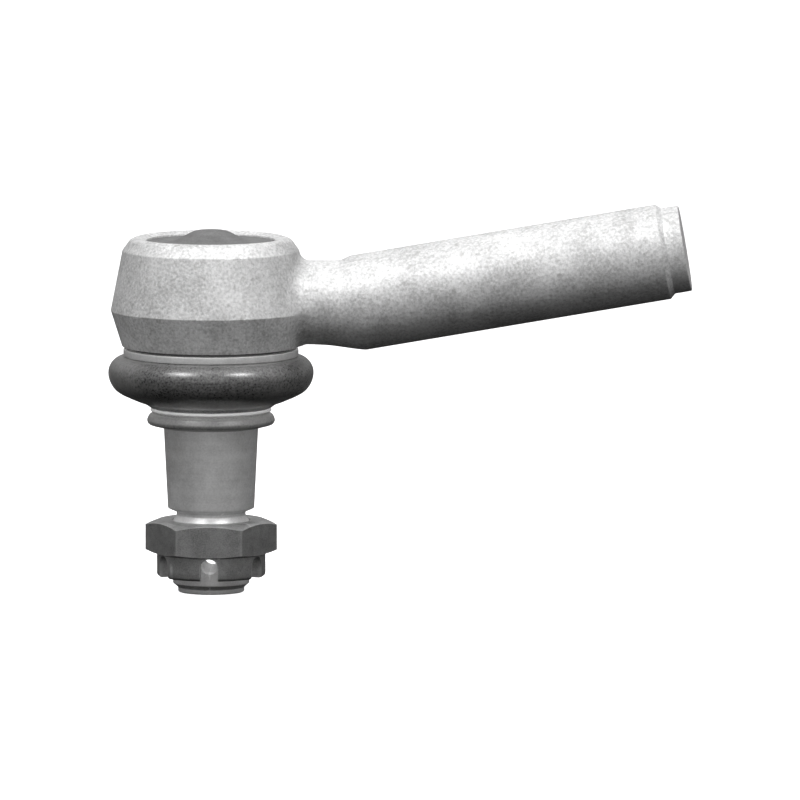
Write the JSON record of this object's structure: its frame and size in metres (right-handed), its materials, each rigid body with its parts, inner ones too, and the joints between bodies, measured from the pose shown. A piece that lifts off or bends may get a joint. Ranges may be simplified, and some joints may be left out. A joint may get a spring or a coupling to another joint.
{
  "type": "tie rod end",
  "caption": "Forged ball socket with a cranked round shank, a tapered ball stud under a rubber boot, and a castle nut; links a steering tie rod to a steering arm.",
  "frame": {"origin": "centre of the ball stud's lower end face", "axes": "+Z along the stud from its threaded end to the ball, +X towards the shank, +Y to the far side"},
  "size_m": [0.1831, 0.0644, 0.1224],
  "materials": {
    "forged_steel": "shot-blasted light grey forging",
    "turned_steel": "fine turned and ground",
    "pressed_steel": "satin pressed sheet",
    "bright_steel": "bright zinc",
    "dark_steel": "oiled dark grey phosphate",
    "spring_steel": "blued spring steel",
    "seat_plastic": "natural acetal",
    "boot_rubber": "semi-matt moulded rubber",
    "seal_rubber": "black nitrile"
  },
  "bodies": {
    "housing": {"tie_rod_housing": "forged_steel", "closing_cover": "pressed_steel", "cover_seal_ring": "seal_rubber", "disc_spring": "spring_steel", "boot_upper_clamp_ring": "pressed_steel"},
    "swing_link": {"upper_ball_seat": "seat_plastic", "lower_ball_seat": "seat_plastic", "dust_boot": "boot_rubber"},
    "boot_ring": {"boot_lower_clamp_ring": "bright_steel", "boot_seal_lip": "boot_rubber"},
    "stud": {"ball_stud": "turned_steel", "castle_nut": "dark_steel"}
  },
  "joints": [
    {"name": "swing_direction", "type": "hinge", "parent": "housing", "child": "swing_link", "pos_m": [0, 0, 0.09132], "axis": [0, 0, 1], "continuous": true},
    {"name": "stud_swing", "type": "hinge", "parent": "swing_link", "child": "boot_ring", "pos_m": [0, 0, 0.09132], "axis": [0, 1, 0], "range_deg": [-18, 18], "deforming": ["dust_boot"]},
    {"name": "stud_spin", "type": "hinge", "parent": "boot_ring", "child": "stud", "pos_m": [0, 0, 0.09132], "axis": [0, 0, 1], "continuous": true}
  ]
}
